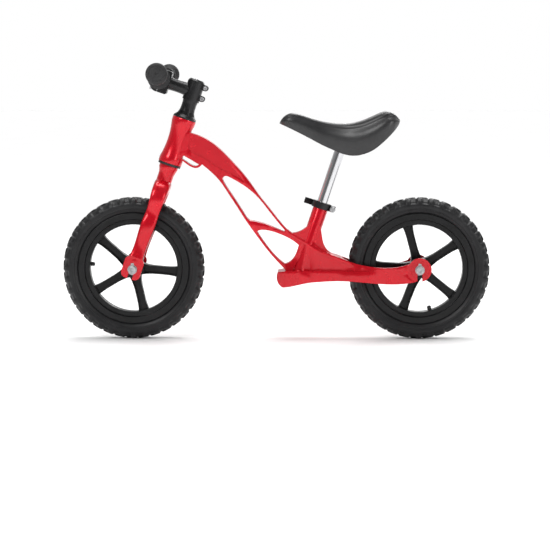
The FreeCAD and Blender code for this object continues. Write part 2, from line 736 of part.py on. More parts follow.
def head_tube_solid():
    """Head tube outside, waisted between its two bearing cups, in the steering frame."""
    middle = (head_bottom + head_top) / 2
    outline = [Vector(head_end_r, 0, head_bottom + 9), Vector(head_waist_r + 1.2, 0, middle - 20),
               Vector(head_waist_r, 0, middle + 2), Vector(head_waist_r + 1.4, 0, middle + 22),
               Vector(head_end_r, 0, head_top - 9)]
    face = closed_face([Vector(0, 0, head_bottom), Vector(head_end_r, 0, head_bottom)], outline,
                       [Vector(head_end_r, 0, head_top), Vector(0, 0, head_top)])
    return face.revolve(Vector(0, 0, 0), Vector(0, 0, 1), 360)


def head_bore():
    """Cutter for the head tube's bore and bearing seats."""
    bore = tube(head_bore_r, 0, head_bottom - 1, head_top + 1)
    lower = tube(head_bearing_r, 0, head_bottom - 1, head_bottom + head_bearing_width)
    upper = tube(head_bearing_r, 0, head_top - head_bearing_width, head_top + 1)
    return bore.fuse([lower, upper])


def stay_solid():
    """Footrest and the two rear stays: a side outline met by a forked plan."""
    side = closed_face(
        rears((0.10, 57), (0.213, 35.6), (0.332, 23), (0.435, 13.5), (0.591, 5.5), (0.772, 4),
              (0.875, 9), (0.955, 16.6)),
        rears((0.967, -24), (0.772, -30), (0.565, -27.5), (0.305, -24.4), (0.176, -26), (0.046, -29),
              (-0.084, -35.5), (-0.148, -37.6)),
        rears((-0.148, -37.6), (-0.185, -30), (-0.20, -15), (-0.19, -6)),
        rears((-0.12, -4), (-0.03, 6)))
    outer_face = rear_dropout_gap / 2 + dropout_wall
    well_front = (rear_axle.x - tyre_r - wheel_well_gap - seat_foot_x) / seat_tube_setback
    inner = rear_dropout_gap / 2
    well_half = tyre_width / 2 + wheel_well_gap
    well = [(1.12, inner), (0.88, inner), (0.65, well_half + 2), (well_front + 0.10, well_half),
            (well_front, well_half * 0.6), (well_front - 0.012, 0)]
    tail = [(0.65, stay_outer_mid + 2), (0.90, outer_face), (1.12, outer_face)]
    step = [(-0.22, step_half_width - 12), (-0.17, step_half_width), (0.10, step_half_width),
            (0.35, step_half_width + 2)] + tail

    def stay_plan(grow):
        return [(-0.22, stay_root_half + grow - 2), (0.04, stay_root_half + grow),
                (0.13, stay_root_half + grow + 4), (0.24, step_half_width + grow - 11),
                (0.36, step_half_width + grow - 3), (0.48, step_half_width + grow + 1)] + tail

    def column(outer, z0, z1):
        def at(pairs, side):
            return [Vector(seat_foot_x + seat_tube_setback * u, side * y, z0) for u, y in pairs]

        face = closed_face(at(outer, -1), at(well, -1) + at(well[::-1], 1)[1:], at(outer[::-1], 1))
        return face.extrude(Vector(0, 0, z1 - z0))

    above = column(stay_plan(0), step_top_z, 600)
    stays = across(side, 100).common(above.fuse(column(step, 0, step_top_z)))
    ridge = closed_face(
        rears((-0.11, 80), (-0.017, 64), (0.064, 52.5), (0.148, 39), (0.24, 31), (0.332, 23.5),
              (0.435, 13.5)),
        rears((0.435, 7.5), (0.332, 17), (0.24, 24.5), (0.148, 32.5), (0.064, 46), (-0.017, 57.5),
              (-0.11, 74)))
    grow = seat_tube_r + ridge_proud - stay_root_half
    stays = stays.fuse(across(ridge, 100).common(column(stay_plan(grow), 0, 600)))
    boss = rod_y(rear_boss_r, rear_axle.x, rear_axle.z, inner, outer_face)
    stays = stays.fuse([boss, mirrored(boss)])
    boss_face = rod_y(rear_boss_r + 2, rear_axle.x, rear_axle.z, outer_face, outer_face + 5)
    groove_floor = outer_face - rear_groove_depth
    groove = rod_y(rear_groove_r, rear_axle.x, rear_axle.z, groove_floor, outer_face + 1).cut(
        rod_y(rear_groove_r - rear_groove_width, rear_axle.x, rear_axle.z, groove_floor, outer_face))
    for cutter in (boss_face, groove):
        stays = stays.cut(cutter.fuse(mirrored(cutter)))
    return stays.cut(dropout_slot(inner, -90).translated(rear_axle))


def seat_tube_solid():
    """Seat tube with the webs that run down into the spars ahead and the stays behind."""
    length = (seat_tube_top_z - tyre_r + 18) / math.cos(seat_tilt)
    tube_body = placed(tube(seat_tube_r, 0, -length, 0), seat)
    front_web = closed_face(
        [station(0.955, -20), station(0.88, -13.5)],
        stations((0.88, -13.5), (0.903, -6.5), (0.924, 4), (0.937, 17), (0.945, 32)),
        [station(1.03, 20), station(1.03, -20)])
    rear_web = closed_face(
        rears((0.155, 92), (0.176, 76), (0.190, 55), (0.225, 38), (0.26, 31), (0.30, 26)),
        [rear(0.30, -10), rear(0.02, -10), rear(0.08, 60)])
    web_half = seat_tube_r - 2
    wheel_well = rod_y(tyre_r + wheel_well_gap, rear_axle.x, rear_axle.z, -web_half - 1, web_half + 1)
    return tube_body.fuse([across(front_web, web_half), across(rear_web, web_half).cut(wheel_well)])


def add_frame():
    """Frame casting, the headset bearings pressed into it, and the rear wheel's axle set."""
    beam = beam_solid()
    frame = beam.fuse([placed(head_tube_solid(), steering), stay_solid(), seat_tube_solid()])
    frame = frame.cut(placed(head_bore(), steering))
    frame = frame.cut(placed(tube(post_r + running_clearance, 0, -seat_bore_depth, 5), seat))
    nodes["main_frame"] = solid_of(frame)
    cups = (("headset_lower_bearing", head_bottom), ("headset_upper_bearing", head_top - head_bearing_width))
    for name, z0 in cups:
        nodes[name] = placed(
            tube(head_bearing_r, head_bearing_bore_r, z0, z0 + head_bearing_width), steering)


# ---------------------------------------------------------------- seat clamp, post and saddle

def add_seat_clamp():
    """Collar round the seat tube's top, its skewer and nut, and the quick-release lever."""
    outer = seat_tube_r + collar_wall
    ear_half = 9.0
    z_mid = -collar_height / 2
    collar = tube(outer, 0, -collar_height, 1.5)
    ear = rod_y(collar_ear_r, -collar_ear_reach, z_mid, -ear_half, ear_half)
    root = box_between((-collar_ear_reach, -ear_half, -collar_height), (0, ear_half, 0))
    collar = collar.fuse([ear, root])
    collar = collar.cut(tube(seat_tube_r, 0, -collar_height - 1, 0))
    collar = collar.cut(tube(post_r + 0.4, 0, -1, 5))
    collar = collar.cut(box_between((-collar_ear_reach - 20, -1.5, -collar_height - 1), (-post_r, 1.5, 5)))
    skewer_hole = rod_y(skewer_r, -collar_ear_reach, z_mid, -30, 30)
    nodes["seat_clamp_collar"] = placed(solid_of(collar.cut(skewer_hole)), seat)
    pivot_y = -(ear_half + 8.0)
    nut = revolved([(skewer_r, 0), (6.5, 0), (6.5, 3), (5, 7), (skewer_r, 7)])
    nut = placed(nut, facing(Vector(-collar_ear_reach, ear_half, z_mid), Vector(0, 1, 0)))
    nodes["seat_clamp_nut"] = placed(nut, seat)
    pin_r = 3.0
    pin = Part.makeCylinder(pin_r, collar_height, Vector(-collar_ear_reach, pivot_y, -collar_height))
    nodes["seat_lever_pin"] = placed(pin, seat)
    skewer = rod_y(skewer_r, -collar_ear_reach, z_mid, pivot_y + pin_r - 0.8, ear_half + 7)
    nodes["seat_clamp_skewer"] = placed(skewer.cut(pin), seat)
    washer = rod_y(collar_ear_r - 0.5, -collar_ear_reach, z_mid, -ear_half - 1.5, -ear_half)
    nodes["seat_clamp_washer"] = placed(washer.cut(skewer_hole), seat)
    cam_r = 8.0 - 1.5 - lever_gap
    cam = Part.makeCylinder(cam_r, collar_height, Vector(-collar_ear_reach, pivot_y, -collar_height))
    outer_y = pivot_y - cam_r
    handle = closed_face(
        [Vector(-collar_ear_reach, outer_y, 0), Vector(-5, outer_y - 1.5, 0), Vector(15, outer_y - 0.5, 0),
         Vector(lever_length - collar_ear_reach, outer_y + 5, 0)],
        [Vector(lever_length - collar_ear_reach, outer_y + 8, 0), Vector(15, outer_y + 2.8, 0),
         Vector(-5, outer_y + 2.5, 0), Vector(-collar_ear_reach, outer_y + 4.5, 0)])
    handle = handle.translated(Vector(0, 0, -collar_height)).extrude(Vector(0, 0, collar_height))
    lever = cam.fuse(handle)
    lever = lever.cut(Part.makeCylinder(pin_r + running_clearance, 60,
                                        Vector(-collar_ear_reach, pivot_y, -30)))
    slot = box_between((-collar_ear_reach - 20, pivot_y - cam_r - 0.5, z_mid - skewer_r - 0.6),
                       (-collar_ear_reach + skewer_r + 0.8, pivot_y + 20, z_mid + skewer_r + 0.6))
    nodes["seat_lever"] = placed(lever.cut(slot), seat)


def post_axis_x(z):
    """X of the seat post's axis at height z."""
    return seat_top.x + (z - seat_tube_top_z) * math.tan(seat_tilt)


def saddle_outline():
    """Saddle seen from the side, hung from its lowest point above the post."""
    x0 = post_axis_x(saddle_height) - 134.0
    z0 = saddle_height + saddle_plate * 2 + saddle_thickness
    k = saddle_length / 247.0
    top = [(0, 1.5), (6, 11), (15, 18), (25, 21), (44, 18), (70, 9.5), (97, 3), (128, 0), (149, 1),
           (170, 6), (191, 14.5), (208, 22), (221, 25.5), (234, 20), (246, 8)]
    low = [(243, 0), (229, -19), (212, -36), (191, -53), (170, -62), (153, -65), (134, -63), (115, -56),
           (90, -45), (54, -26), (23, -10.5), (0, 0)]

    def at(pairs):
        return [Vector(x0 + x * k, 0, z0 + z) for x, z in pairs]

    return closed_face(at(top), at(low)), x0, z0


def add_saddle():
    """Seat post, its bracket, the saddle's base plate, pad and screws."""
    post_top = (saddle_height - seat_tube_top_z) / math.cos(seat_tilt) + 20
    above = box_between((-500, -200, saddle_height), (500, 200, saddle_height + 200))
    post = placed(tube(post_r, post_r - post_wall, -post_inserted, post_top), seat).cut(above)
    nodes["seat_post"] = solid_of(post)
    x_mid = post_axis_x(saddle_height)
    plate_half = 50.0
    bracket = box_between((x_mid - plate_half, -20, saddle_height),
                          (x_mid + plate_half, 20, saddle_height + saddle_plate))
    base_low = saddle_height + saddle_plate
    base_half_width = 25.5
    base = box_between((x_mid - plate_half - 8, -base_half_width, base_low),
                       (x_mid + plate_half + 8, base_half_width, base_low + saddle_plate))
    screws = []
    for dx in (-plate_half + 10, plate_half - 10):
        for y in (-12, 12):
            screw = socket_screw(m6_r, m6_head_r, 3.5, saddle_plate * 2)
            screws.append(placed(screw, facing(Vector(x_mid + dx, y, saddle_height), Vector(0, 0, -1))))
            hole = Part.makeCylinder(m6_r, 20, Vector(x_mid + dx, y, saddle_height - 2))
            bracket = bracket.cut(hole)
            base = base.cut(hole)
    nodes["saddle_bracket"] = bracket
    nodes["saddle_base"] = base
    nodes["saddle_screws"] = Part.Compound(screws)
    face, x0, z0 = saddle_outline()
    side = across(face, saddle_rear_width)
    wide = saddle_rear_width / 2
    narrow = saddle_front_width / 2
    span = saddle_length
    right = [(0, 6), (4, narrow * 0.6), (18, narrow * 0.9), (50, narrow), (95, narrow + 3), (135, wide * 0.68),
             (180, wide * 0.93), (215, wide), (238, wide * 0.8), (span, wide * 0.35)]
    left = [(x, -y) for x, y in reversed(right)]
    plan = closed_face([Vector(x0 + x, y, 0) for x, y in right], [Vector(x0 + x, y, 0) for x, y in left])
    pad = side.common(plan.extrude(Vector(0, 0, 700)))
    cavity = box_between((x_mid - plate_half - 8, -base_half_width, saddle_height - 90),
                         (x_mid + plate_half + 8, base_half_width, base_low + saddle_plate))
    nodes["saddle_pad"] = pad.cut(cavity)


# ---------------------------------------------------------------- build

add_frame()
add_steering()
add_wheel("front", front_axle, front_spoke_deg, front_dropout_gap)
add_wheel("rear", rear_axle, rear_spoke_deg, rear_dropout_gap)
add_seat_clamp()
add_saddle()

os.makedirs("parts", exist_ok=True)
for node, shape in nodes.items():
    shape.exportStep("parts/" + node + ".step")
    box = shape.BoundBox
    print("%-28s solids %2d valid %s vol %9.0f  X %7.1f..%7.1f Y %7.1f..%7.1f Z %7.1f..%7.1f" % (
        node, len(shape.Solids), shape.isValid(), shape.Volume,
        box.XMin, box.XMax, box.YMin, box.YMax, box.ZMin, box.ZMax))
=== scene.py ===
"""Looks of the balance bike: materials, moulded soft parts, studio light and camera."""
import json
import math

import bmesh
import bpy
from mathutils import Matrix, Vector


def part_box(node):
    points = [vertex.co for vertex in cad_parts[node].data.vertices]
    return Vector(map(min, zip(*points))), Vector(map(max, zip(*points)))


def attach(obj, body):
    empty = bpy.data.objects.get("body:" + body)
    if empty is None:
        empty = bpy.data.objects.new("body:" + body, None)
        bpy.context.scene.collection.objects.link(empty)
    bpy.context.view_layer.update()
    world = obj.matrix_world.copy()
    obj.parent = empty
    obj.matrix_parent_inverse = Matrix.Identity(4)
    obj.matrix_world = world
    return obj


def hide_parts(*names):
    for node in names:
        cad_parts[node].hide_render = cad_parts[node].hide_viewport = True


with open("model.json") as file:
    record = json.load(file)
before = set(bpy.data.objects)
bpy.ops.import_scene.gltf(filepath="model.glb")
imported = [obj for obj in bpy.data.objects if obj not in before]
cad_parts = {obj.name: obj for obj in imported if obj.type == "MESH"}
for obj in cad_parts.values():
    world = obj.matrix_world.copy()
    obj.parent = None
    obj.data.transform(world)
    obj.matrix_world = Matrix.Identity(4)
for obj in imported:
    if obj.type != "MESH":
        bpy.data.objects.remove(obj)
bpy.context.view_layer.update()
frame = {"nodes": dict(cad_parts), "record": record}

NODES = frame["nodes"]


# ---------------------------------------------------------------- node helpers

class Recipe:
    """A material's node tree with short calls for the nodes used here."""

    def __init__(self, name):
        self.material = bpy.data.materials.new(name)
        self.material.use_nodes = True
        self.tree = self.material.node_tree
        self.shader = self.tree.nodes["Principled BSDF"]
        self.place = self.tree.nodes.new("ShaderNodeTexCoord").outputs["Object"]

    def link(self, source, target):
        self.tree.links.new(source, target)

    def set(self, **values):
        for key, value in values.items():
            self.shader.inputs[key.replace("_", " ")].default_value = value
        return self

    def noise(self, scale, detail=3.0, rough=0.55, stretch=None):
        node = self.tree.nodes.new("ShaderNodeTexNoise")
        node.inputs["Scale"].default_value = scale
        node.inputs["Detail"].default_value = detail
        node.inputs["Roughness"].default_value = rough
        self.link(self.mapped(stretch), node.inputs["Vector"])
        return node.outputs["Fac"]

    def cells(self, scale):
        node = self.tree.nodes.new("ShaderNodeTexVoronoi")
        node.inputs["Scale"].default_value = scale
        self.link(self.place, node.inputs["Vector"])
        return node.outputs["Distance"]

    def mapped(self, stretch):
        if stretch is None:
            return self.place
        node = self.tree.nodes.new("ShaderNodeMapping")
        node.inputs["Scale"].default_value = stretch
        self.link(self.place, node.inputs["Vector"])
        return node.outputs["Vector"]

    def ramp(self, value, *stops):
        """Colour ramp from (position, colour) stops."""
        node = self.tree.nodes.new("ShaderNodeValToRGB")
        ramp = node.color_ramp
        while len(ramp.elements) < len(stops):
            ramp.elements.new(0.5)
        for element, (position, colour) in zip(ramp.elements, stops):
            element.position = position
            element.color = colour + (1,)
        self.link(value, node.inputs["Fac"])
        return node.outputs["Color"]

    def span(self, value, low, high):
        """Value between 0 and 1 stretched to low..high."""
        node = self.tree.nodes.new("ShaderNodeMapRange")
        node.inputs["To Min"].default_value = low
        node.inputs["To Max"].default_value = high
        self.link(value, node.inputs["Value"])
        return node.outputs["Result"]

    def bump(self, height, strength, distance):
        """Adds a bump on top of the bumps already there."""
        node = self.tree.nodes.new("ShaderNodeBump")
        node.inputs["Strength"].default_value = strength
        node.inputs["Distance"].default_value = distance
        self.link(height, node.inputs["Height"])
        before = self.shader.inputs["Normal"].links
        if before:
            self.link(before[0].from_socket, node.inputs["Normal"])
        self.link(node.outputs["Normal"], self.shader.inputs["Normal"])
        return self


def tinted(recipe, value, dark, light):
    """Base colour that drifts between two colours with a value."""
    recipe.link(recipe.ramp(value, (0.3, dark), (0.7, light)), recipe.shader.inputs["Base Color"])
    return recipe


# ---------------------------------------------------------------- materials

def red_paint():
    """Glossy candy-red lacquer over casting: orange peel, faint depth change, thin clear coat."""
    r = Recipe("red_gloss_paint").set(Metallic=0.35, Coat_Weight=0.4, Coat_Roughness=0.06)
    r.shader.inputs["Specular IOR Level"].default_value = 0.3
    tinted(r, r.noise(9.0, 4.0), (0.52, 0.0, 0.008), (0.66, 0.001, 0.014))
    r.link(r.span(r.noise(60.0), 0.20, 0.32), r.shader.inputs["Roughness"])
    r.bump(r.noise(420.0, 2.0), 0.04, 0.0003)
    return r.material


def black_cast():
    """Satin black powder coat on the cast wheels."""
    r = Recipe("black_powder_coat").set(Metallic=0.0)
    r.shader.inputs["Specular IOR Level"].default_value = 0.28
    tinted(r, r.noise(40.0, 4.0), (0.004, 0.004, 0.004), (0.009, 0.009, 0.010))
    r.link(r.span(r.noise(150.0), 0.26, 0.40), r.shader.inputs["Roughness"])
    r.bump(r.noise(1500.0, 3.0), 0.22, 0.0003)
    return r.material


def black_alloy():
    """Bead-blasted black anodised alloy."""
    r = Recipe("black_anodised").set(Metallic=0.35)
    tinted(r, r.noise(60.0, 4.0), (0.007, 0.007, 0.008), (0.014, 0.014, 0.015))
    r.link(r.span(r.noise(220.0), 0.24, 0.38), r.shader.inputs["Roughness"])
    r.bump(r.noise(2500.0, 2.0), 0.18, 0.0002)
    return r.material


def tyre_rubber():
    """Dull tread rubber with dusty patches."""
    r = Recipe("tyre_rubber").set(Metallic=0.0)
    r.shader.inputs["Specular IOR Level"].default_value = 0.25
    tinted(r, r.noise(30.0, 6.0, 0.65), (0.010, 0.010, 0.011), (0.020, 0.020, 0.021))
    r.link(r.span(r.noise(90.0, 4.0), 0.30, 0.50), r.shader.inputs["Roughness"])
    r.bump(r.noise(900.0, 4.0), 0.25, 0.0004)
    return r.material


def inner_rubber():
    """Plain butyl rubber of the tubes, seen only at the valve."""
    r = Recipe("butyl_rubber").set(Metallic=0.0)
    tinted(r, r.noise(50.0), (0.015, 0.015, 0.015), (0.030, 0.030, 0.030))
    r.link(r.span(r.noise(120.0), 0.45, 0.65), r.shader.inputs["Roughness"])
    r.bump(r.noise(800.0), 0.2, 0.0003)
    return r.material


def grip_rubber():
    """Soft charcoal rubber with a pebbled touch surface."""
    r = Recipe("grip_rubber").set(Metallic=0.0)
    r.shader.inputs["Specular IOR Level"].default_value = 0.28
    tinted(r, r.noise(70.0, 4.0), (0.018, 0.018, 0.019), (0.032, 0.032, 0.033))
    r.link(r.span(r.noise(200.0), 0.50, 0.68), r.shader.inputs["Roughness"])
    r.bump(r.cells(1100.0), 0.25, 0.0004)
    return r.material


def saddle_skin():
    """Charcoal synthetic leather: fine pebble grain and a soft satin shine."""
    r = Recipe("saddle_skin").set(Metallic=0.0, Coat_Weight=0.15, Coat_Roughness=0.30)
    tinted(r, r.noise(25.0, 5.0), (0.010, 0.010, 0.011), (0.019, 0.019, 0.020))
    r.link(r.span(r.noise(140.0), 0.28, 0.42), r.shader.inputs["Roughness"])
    r.bump(r.cells(900.0), 0.22, 0.0004)
    r.bump(r.noise(2200.0, 3.0), 0.10, 0.0002)
    return r.material


def black_plastic():
    """Moulded black plastic with a fine spark texture."""
    r = Recipe("black_moulded_plastic").set(Metallic=0.0)
    tinted(r, r.noise(80.0), (0.008, 0.008, 0.009), (0.015, 0.015, 0.016))
    r.link(r.span(r.noise(180.0), 0.42, 0.58), r.shader.inputs["Roughness"])
    r.bump(r.noise(1800.0), 0.15, 0.0003)
    return r.material


def chrome():
    """Polished chrome with hairline rubbing along the tube."""
    r = Recipe("chrome").set(Metallic=1.0)
    tinted(r, r.noise(12.0), (0.58, 0.58, 0.60), (0.68, 0.68, 0.69))
    r.link(r.span(r.noise(600.0, 3.0, 0.6, (1, 1, 0.02)), 0.06, 0.15), r.shader.inputs["Roughness"])
    r.bump(r.noise(900.0, 2.0, 0.5, (1, 1, 0.02)), 0.03, 0.0001)
    return r.material


def silver_steel():
    """Zinc-plated fastener steel."""
    r = Recipe("zinc_plate").set(Metallic=1.0)
    tinted(r, r.noise(150.0, 4.0), (0.36, 0.36, 0.37), (0.56, 0.56, 0.57))
    r.link(r.span(r.noise(400.0), 0.22, 0.38), r.shader.inputs["Roughness"])
    r.bump(r.noise(2600.0), 0.10, 0.0001)
    return r.material


MATERIALS = {
    "red_paint": red_paint(),
    "black_cast_wheel": black_cast(),
    "black_alloy": black_alloy(),
    "tyre_rubber": tyre_rubber(),
    "tube_rubber": inner_rubber(),
    "grip_rubber": grip_rubber(),
    "saddle_skin": saddle_skin(),
    "black_plastic": black_plastic(),
    "chrome": chrome(),
    "silver_steel": silver_steel(),
}


def dress(obj, material):
    """Puts one material on every slot of an object."""
    if not obj.material_slots:
        obj.data.materials.append(material)
    for piece_slot in obj.material_slots:
        piece_slot.material = material


def dress_nodes():
    """Gives every CAD node the material of its slot in the record."""
    for part in frame["record"]["subparts"]:
        dress(NODES[part["node"]], MATERIALS[part["material_slot"]])


# ---------------------------------------------------------------- moulded pieces

def new_object(name, mesh, body, slot_name, *replaced):
    """Puts a mesh in the scene, riding a body and standing for CAD nodes."""
    piece = bpy.data.objects.new(name, mesh)
    bpy.context.scene.collection.objects.link(piece)
    dress(piece, MATERIALS[slot_name])
    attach(piece, body)
    if replaced:
        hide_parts(*replaced)
    return piece


def grid_mesh(name, rows, wrap_rows=True):
    """Smooth-shaded mesh from rings of points; its ends meet, or are capped if not wrapped."""
    mesh = bpy.data.meshes.new(name)
    n, m = len(rows), len(rows[0])
    points = [point for row in rows for point in row]
    faces = []
    for i in range(n if wrap_rows else n - 1):
        for j in range(m):
            a, b = i, (i + 1) % n
            c, d = j, (j + 1) % m
            faces.append((a * m + c, a * m + d, b * m + d, b * m + c))
    mesh.from_pydata(points, [], faces)
    shell = bmesh.new()
    shell.from_mesh(mesh)
    if not wrap_rows:
        shell.verts.ensure_lookup_table()
        for end in (0, n - 1):
            shell.faces.new([shell.verts[end * m + j] for j in range(m)])
    bmesh.ops.recalc_face_normals(shell, faces=shell.faces)
    for face in shell.faces:
        face.smooth = True
    shell.to_mesh(mesh)
    shell.free()
    mesh.update()
    return mesh


def ease(x, low, high):
    """Smooth step from 0 at low to 1 at high."""
    u = min(max((x - low) / (high - low), 0.0), 1.0)
    return u * u * (3 - 2 * u)


LUGS = 36                 # tread blocks in one turn, in each row
LUG_STEPS = 12            # mesh columns per block
GROOVE = 2.6              # tread depth, mm
# Half section of the tyre, crown to bead: radius and distance from the middle plane, mm.
TYRE_SIDE = [
    (146.0, 0.0), (145.9, 2.5), (145.7, 4.6), (145.6, 5.2), (145.4, 7.6), (145.3, 8.2),
    (144.6, 11.0), (143.3, 13.8), (141.5, 16.4), (139.3, 18.6), (137.0, 20.2), (134.6, 21.2),
    (133.2, 21.7), (132.2, 22.0), (130.2, 22.3), (128.0, 22.3), (126.0, 22.0), (124.6, 21.5),
    (123.9, 21.4), (123.3, 21.8), (122.5, 21.9), (121.8, 21.5), (121.4, 20.8), (120.0, 20.1),
    (118.0, 19.0), (116.4, 17.9), (115.3, 17.0), (114.9, 16.2), (113.6, 15.9), (109.0, 15.9),
    (104.3, 15.7), (104.3, 12.2), (109.0, 12.1), (114.5, 12.2), (119.0, 17.2), (123.5, 18.6),
    (128.0, 19.5), (133.0, 18.1), (138.0, 15.0), (141.7, 9.0), (142.9, 2.2)]
TREAD_ROWS = 13           # section points that carry the tread, counted from the crown
SHOULDER_ROW = 6          # the first of them that is on the shoulder


def tread_cut(index, turn, side):
    """Depth of the tread groove at a section point and a fraction of the lug pitch."""
    phase = (turn + (0.5 if side > 0 else 0.0)) % 1.0
    centre = (turn + 0.25) % 1.0
    if index <= 2:
        return GROOVE * (1 - ease(abs(centre - 0.5), 0.10, 0.17))
    if index in (3, 4):
        return GROOVE
    fade = 1 - ease(index, 11.0, 12.4)
    return GROOVE * 1.3 * fade * (1 - ease(abs(phase - 0.5), 0.22, 0.30))


def tyre_mesh(name, centre):
    """Tyre carcass with staggered shoulder blocks, a broken centre rib and bead rings."""
    both = [(i, r, y, -1) for i, (r, y) in enumerate(TYRE_SIDE)][::-1]
    both += [(i, r, y, 1) for i, (r, y) in enumerate(TYRE_SIDE)][1:]
    columns = LUGS * LUG_STEPS
    rows = []
    for column in range(columns):
        angle = 2 * math.pi * column / columns
        turn = (column % LUG_STEPS) / LUG_STEPS
        ring = []
        for i, r, y, side in both:
            if i < TREAD_ROWS:
                cut = tread_cut(i, turn, side)
                if i < SHOULDER_ROW:
                    r -= cut * math.cos(math.atan2(y, 12.0))
                else:
                    lean = math.radians(32 + 10 * (i - SHOULDER_ROW))
                    r -= cut * math.cos(lean)
                    y -= cut * math.sin(lean)
            ring.append((centre.x + r * math.cos(angle) / 1000, side * y / 1000,
                         centre.z + r * math.sin(angle) / 1000))
        rows.append(ring)
    return grid_mesh(name, rows)


def middle(node):
    """Centre of a node's box."""
    low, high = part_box(node)
    return (Vector(low) + Vector(high)) / 2


def add_tyres():
    for wheel in ("front", "rear"):
        mesh = tyre_mesh(wheel + "_tread_tyre", middle(wheel + "_tyre"))
        new_object(wheel + "_tread_tyre", mesh, wheel + "_wheel", "tyre_rubber", wheel + "_tyre")


BAR_RISE = math.radians(4.5)     # the grips climb outwards by this
BAR_SWEEP = math.radians(1.5)    # and lean back by this
GRIP_INNER = -106.0       # inner end of the grip, mm from the bar's tip
GRIP_END = 0.006          # rubber past the bar's tip, m
GRIP_FACETS = 96          # mesh columns round a grip


def grip_profile():
    """Grip outline, inner flange to end cap: distance from the bar's tip and radius, mm."""
    z = GRIP_INNER
    outline = [
        (z, 11.2), (z, 14.0), (z, 20.8), (z + 0.5, 22.0), (z + 1.6, 22.6), (z + 2.8, 22.6),
        (z + 3.8, 22.0), (z + 4.6, 20.6), (z + 5.6, 18.6), (z + 7.0, 16.9), (z + 9.0, 15.9)]
    barrel_low, barrel_high, ribs = z + 11.0, -22.0, 13
    pitch = (barrel_high - barrel_low) / ribs
    for k in range(ribs):
        base = barrel_low + pitch * k
        swell = 14.9 + 0.6 * math.cos(2 * math.pi * k / (ribs - 1))
        outline += [
            (base, swell - 0.9), (base + 0.5, swell),
            (base + pitch - 1.7, swell), (base + pitch - 1.2, swell - 0.9)]
    outline += [
        (-21.0, 14.6), (-18.0, 15.6), (-14.5, 18.0), (-11.5, 20.4), (-8.5, 21.6), (-5.0, 22.0),
        (-2.0, 21.7), (0.6, 20.7), (2.6, 19.0), (3.9, 16.8), (4.3, 15.4), (3.9, 14.9), (4.0, 14.3),
        (4.7, 13.6), (5.3, 10.0), (5.7, 6.0), (5.9, 3.4), (5.5, 2.7), (4.2, 2.3), (4.0, 1.2)]
    return outline


def add_grip(name, side):
    """Rubber grip with a hand-stop flange, ribbed barrel and round safety end."""
    node = NODES[name]
    out = Vector((math.sin(BAR_SWEEP), side * math.cos(BAR_RISE), math.sin(BAR_RISE))).normalized()
    turn = Vector((0, 0, 1)).cross(out).normalized()
    lift = out.cross(turn)
    spots = [node.matrix_world @ vertex.co for vertex in node.data.vertices]

    def centre(axis):
        values = [spot.dot(axis) for spot in spots]
        return (min(values) + max(values)) / 2

    tip = max(spot.dot(out) for spot in spots) - GRIP_END
    origin = out * tip + turn * centre(turn) + lift * centre(lift)
    rows = []
    for z, r in grip_profile():
        ring = []
        for k in range(GRIP_FACETS):
            angle = 2 * math.pi * k / GRIP_FACETS
            spoke = turn * math.cos(angle) + lift * math.sin(angle)
            ring.append(tuple(origin + out * (z / 1000) + spoke * (r / 1000)))
        rows.append(ring)
    mesh = grid_mesh(name + "_rubber", rows, wrap_rows=False)
    new_object(name + "_rubber", mesh, "steering", "grip_rubber", name)


SADDLE_LENGTH = 245.5     # mm, nose to tail of the outlines below
SADDLE_CREST = 0.0255     # tail's crest over the seat's low point, m
SADDLE_STEPS = 90         # mesh rings from nose to tail
# Outline seen from the side: distance from the nose and height over the seat's low point, mm.
SADDLE_TOP = [
    (0, 1.5), (6, 11), (15, 18), (25, 21), (44, 18), (70, 9.5), (97, 3), (128, 0), (149, 1),
    (170, 6), (191, 14.5), (208, 22), (221, 25.3), (234, 20), (SADDLE_LENGTH, 8)]
SADDLE_LOW = [
    (0, 0), (23, -10.5), (54, -26), (90, -45), (115, -56), (134, -63), (153, -65), (170, -62),
    (191, -53), (212, -36), (229, -19), (242, -3), (SADDLE_LENGTH, 6)]
# Half width along the saddle, mm.
SADDLE_HALF = [
    (0, 7), (4, 17), (18, 27.5), (50, 31), (95, 34.5), (135, 43), (180, 58), (212, 62.3),
    (232, 57), (241, 45), (SADDLE_LENGTH, 34)]
# Half section from the middle of the top to the lower edge: fraction of half width and of height.
SADDLE_SIDE = [
    (0.0, 0.0), (0.20, -0.004), (0.42, -0.006), (0.60, -0.004), (0.72, 0.006), (0.79, 0.03),
    (0.835, 0.07), (0.86, 0.12), (0.872, 0.17), (0.885, 0.215), (0.91, 0.26), (0.945, 0.31),
    (0.975, 0.37), (0.995, 0.45), (1.0, 0.54), (0.992, 0.64), (0.972, 0.75), (0.945, 0.86),
    (0.92, 0.94), (0.90, 0.985), (0.875, 1.0), (0.84, 0.985)]


def curve_through(pairs, x):
    """Height at x of a smooth curve through the pairs."""
    xs = [pair[0] for pair in pairs]
    last = len(pairs) - 1
    i = max(k for k in range(last) if xs[k] <= x or k == 0)
    x0, y0 = pairs[i]
    x1, y1 = pairs[i + 1]
    before, after = pairs[max(i - 1, 0)], pairs[min(i + 2, last)]
    m0 = (y1 - before[1]) / (x1 - before[0])
    m1 = (after[1] - y0) / (after[0] - x0)
    h = x1 - x0
    u = min(max((x - x0) / h, 0.0), 1.0)
    return (y0 * (2 * u ** 3 - 3 * u ** 2 + 1) + y1 * (3 * u ** 2 - 2 * u ** 3)
            + m0 * h * (u ** 3 - 2 * u ** 2 + u) + m1 * h * (u ** 3 - u ** 2))


